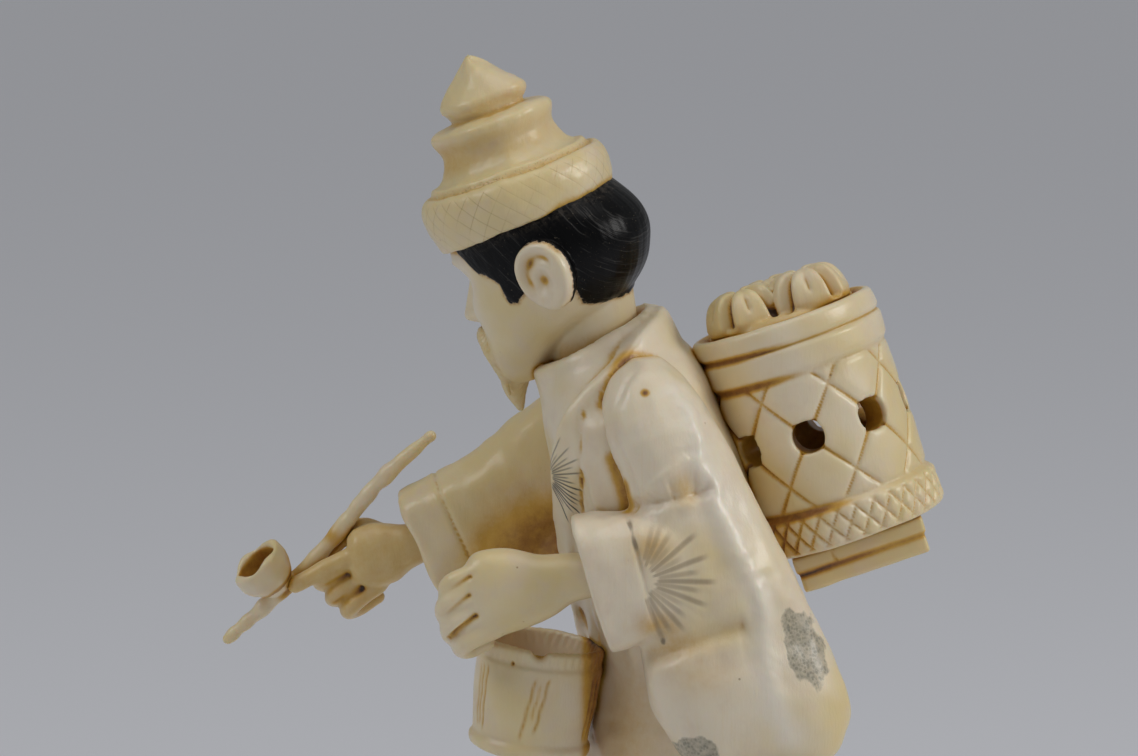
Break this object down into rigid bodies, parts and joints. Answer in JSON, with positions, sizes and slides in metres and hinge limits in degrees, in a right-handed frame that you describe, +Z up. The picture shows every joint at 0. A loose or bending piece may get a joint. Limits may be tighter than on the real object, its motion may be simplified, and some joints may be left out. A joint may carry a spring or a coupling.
{
  "type": "okimono figure",
  "caption": "Standing carved ivory okimono of a bearded flower seller in a tiered cap, with a basket on the back, a tub at the hip and a branch held out in the hand.",
  "frame": {"origin": "centre of the oval base's flat underside", "axes": "+Z up the figure, -Y the way the figure's body faces, +X towards the figure's own left side"},
  "size_m": [0.0521, 0.0873, 0.1753],
  "materials": {
    "ivory": "polished pale ivory, stained brown in the cuts",
    "warm_ivory": "polished yellowed ivory, stained brown in the cuts"
  },
  "bodies": {
    "root": {"base": "warm_ivory", "robe": "ivory", "head": "ivory", "cap": "ivory", "left_sleeve": "ivory", "left_hand": "ivory", "right_sleeve": "warm_ivory", "right_hand": "warm_ivory", "branch": "warm_ivory", "basket": "ivory", "blossoms": "warm_ivory", "basket_foot": "warm_ivory", "tub": "ivory"}
  },
  "joints": []
}
